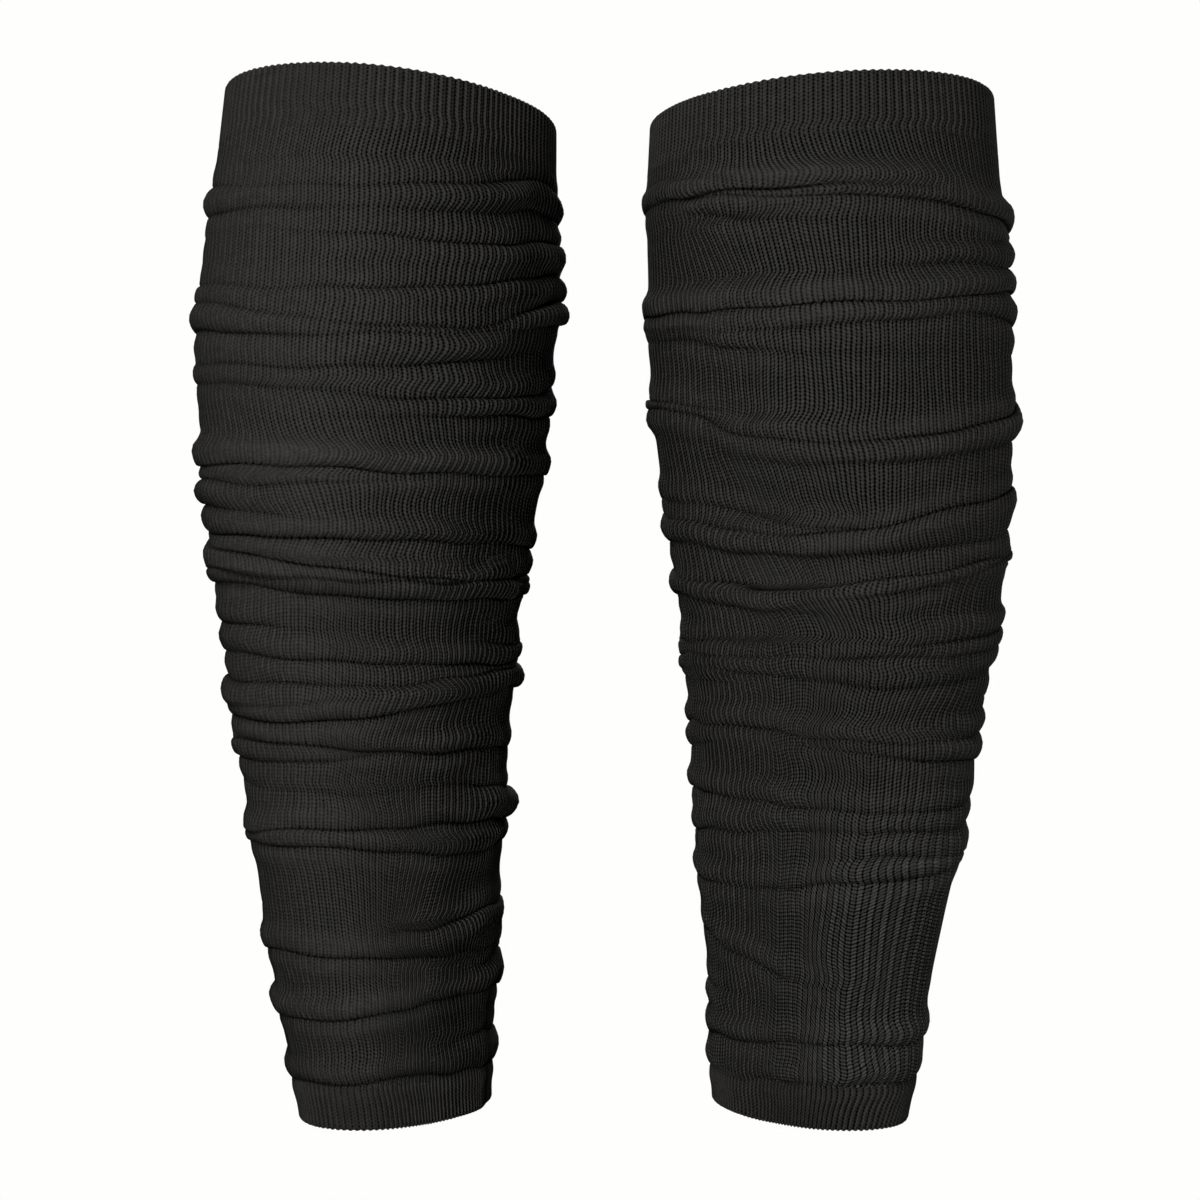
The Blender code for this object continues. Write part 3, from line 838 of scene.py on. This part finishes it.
def turnedCuff(sleeve, part, tree, finish):
    # A welt turned back on itself: the fold of the cloth is the rim. way is 1 where the
    # rim is below the seam, and -1 where it is above.
    shape = cuffShape
    wales = np.arange(shape["columns"]) * sleeveCut["ribs"] / shape["columns"]
    wall, slant = shape["wall"], sleeveCut["seamSlant"]
    radius = wall / 2
    if part == "calf":
        seam, rim, way = sleeveCut["calfCuff"], 0.0, -1
    else:
        seam = sleeveCut["length"] - sleeveCut["ankleCuff"] + sleeveCut["seamGap"]
        rim, way = sleeveCut["length"], 1
    bendFrom = rim - way * radius
    outerDrops = np.linspace(seam, bendFrom, shape["outerRows"])
    bends = np.linspace(0, math.pi, shape["rimRows"] + 2)[1:-1]
    rimDrops = bendFrom + way * radius * np.sin(bends)
    rimProud = -radius + radius * np.cos(bends)
    innerDrops = np.linspace(bendFrom, seam - slant, shape["innerRows"])
    drops = np.concatenate([outerDrops, rimDrops, innerDrops])
    sunk = np.concatenate([0 * outerDrops, rimProud, 0 * innerDrops - wall])
    grid = drops[:, None] + 0 * wales
    leaning, proud = clothRings(sleeve, wales, grid)[3:]
    moved, _, gather, tuck = folded(sleeve, wales, turnOfWale(sleeve, wales)[None] + 0 * grid, grid)
    rings = onLeg(sleeve, leaning, moved, proud + sunk[:, None])
    rimRelief = np.linspace(1, shape["rimRelief"], shape["rimRows"])
    relief = np.concatenate([0 * outerDrops + 1, rimRelief, 0 * innerDrops + shape["innerRelief"]])
    order = slice(None) if part == "ankle" else slice(None, None, -1)
    rings, grid, gather, tuck, relief = (item[order] for item in (rings, grid, gather, tuck, relief))
    marks = {
        "wale": wales[None] + 0 * grid,
        "relief": relief[:, None] + 0 * grid,
        "gather": gather,
        "tuck": tuck,
        "low": shape["lowShare"] * lowMark(sleeve, leaning, grid),
        "crisp": crispMark(sleeve, leaning, grid),
    }
    name = sleeve.side + "_" + part + "_welt"
    mesh = torusMesh(name + "_smooth", rings, marks, (wales, courses(rings, weltFinish["courses"])))
    return ribbed(name, mesh, tree, finish, shape["ribs"], sleeve.seed + 1)


def dressSleeve(sleeve, tree, knit, welt):
    tube = legTube(sleeve, tree, knit)
    calf = turnedCuff(sleeve, "calf", tree, welt)
    ankle = turnedCuff(sleeve, "ankle", tree, welt)
    for piece, node, slot, cut, held in (
            (tube, "_leg_tube", "charcoal_rib_knit", tubeShape["cut"], "gathered"),
            (calf, "_calf_cuff", "charcoal_welt", cuffShape["calfCut"], "stretched"),
            (ankle, "_ankle_cuff", "charcoal_welt", cuffShape["ankleCut"], "stretched")):
        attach(piece, "root")
        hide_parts(sleeve.side + node)
        print(piece.name, len(piece.data.polygons) * 2, "triangles")


ribTree = ribReliefTree()
ribKnit = knitMaterial("charcoal rib knit", knitFinish)
weltKnit = knitMaterial("charcoal welt", weltFinish)
print("rib tree and knit finishes made")
for eachSleeve in sleeves:
    dressSleeve(eachSleeve, ribTree, ribKnit, weltKnit)

studio = {
    "eye": (0.0735, -0.790, -0.1615),       # camera, level with the middle of the legs
    "fieldOfView": math.radians(30),
    "floor": -0.3425,                       # just under the ankle rims
    "floorSize": 30.0,
    "white": (0.99, 0.99, 0.985, 1.0),
}

# One lamp: its turn round the legs and its height over them in degrees, how far off it
# is, its width and its power.
Lamp = namedtuple("Lamp", "name turn height distance width power")
lamps = [
    Lamp("low light", -8, -14, 0.60, 0.30, 1.80),
    Lamp("front light", -22, 32, 0.75, 0.30, 1.85),
    Lamp("left light", -62, 12, 1.50, 0.45, 0.40),
    Lamp("right light", 82, 4, 0.75, 0.20, 0.92),
    Lamp("top light", 0, 84, 1.5, 0.80, 4.00),
    Lamp("back light", 180, 20, 1.5, 0.90, 20.0),
    Lamp("rear left light", -120, 20, 1.5, 0.80, 3.00),
    Lamp("rear right light", 120, 20, 1.5, 0.40, 1.80),
]


def areaLight(lamp, target):
    light = bpy.data.lights.new(lamp.name, "AREA")
    light.shape = "DISK"
    light.size = lamp.width
    light.energy = lamp.power
    turn, height = math.radians(lamp.turn), math.radians(lamp.height)
    level = math.cos(height)
    away = np.array([math.sin(turn) * level, -math.cos(turn) * level, math.sin(height)])
    item = bpy.data.objects.new(lamp.name, light)
    item.location = target + lamp.distance * away
    item.rotation_euler = (math.pi / 2 - height, 0.0, turn)
    item.visible_camera = False
    bpy.context.scene.collection.objects.link(item)


def makeStudio():
    scene = bpy.context.scene
    for name in ("Cube", "Light", "Camera"):        # what a new Blender file holds
        spare = bpy.data.objects.get(name)
        if spare:
            bpy.data.objects.remove(spare, do_unlink=True)
    scene.view_settings.view_transform = "Standard"
    world = bpy.data.worlds.new("studio white")
    world.use_nodes = True
    world.node_tree.nodes["Background"].inputs["Color"].default_value = studio["white"]
    world.cycles_visibility.diffuse = False
    world.cycles_visibility.glossy = False
    scene.world = world

    half = studio["floorSize"] / 2
    z = studio["floor"]
    mesh = bpy.data.meshes.new("floor")
    corners = [(-half, -half, z), (half, -half, z), (half, half, z), (-half, half, z)]
    mesh.from_pydata(corners, [], [(0, 1, 2, 3)])
    floor = bpy.data.objects.new("floor", mesh)
    white = bpy.data.materials.new("white floor")
    white.use_nodes = True
    shader = white.node_tree.nodes["Principled BSDF"]
    shader.inputs["Base Color"].default_value = (0.0, 0.0, 0.0, 1.0)    # the glow alone shows
    shader.inputs["Specular IOR Level"].default_value = 0.0
    shader.inputs["Emission Color"].default_value = studio["white"]
    shader.inputs["Emission Strength"].default_value = 1.0
    mesh.materials.append(white)
    floor.visible_diffuse = False
    floor.visible_glossy = False
    scene.collection.objects.link(floor)

    middle = np.array([studio["eye"][0], 0.0, studio["eye"][2]])        # of the pair of legs
    for lamp in lamps:
        areaLight(lamp, middle)

    lens = bpy.data.cameras.new("camera")
    lens.sensor_width = 36.0
    lens.lens = lens.sensor_width / (2 * math.tan(studio["fieldOfView"] / 2))
    lens.clip_start = 0.05
    camera = bpy.data.objects.new("camera", lens)
    camera.location = studio["eye"]
    camera.rotation_euler = (math.pi / 2, 0.0, 0.0)
    scene.collection.objects.link(camera)
    scene.camera = camera


makeStudio()
print("studio ready")
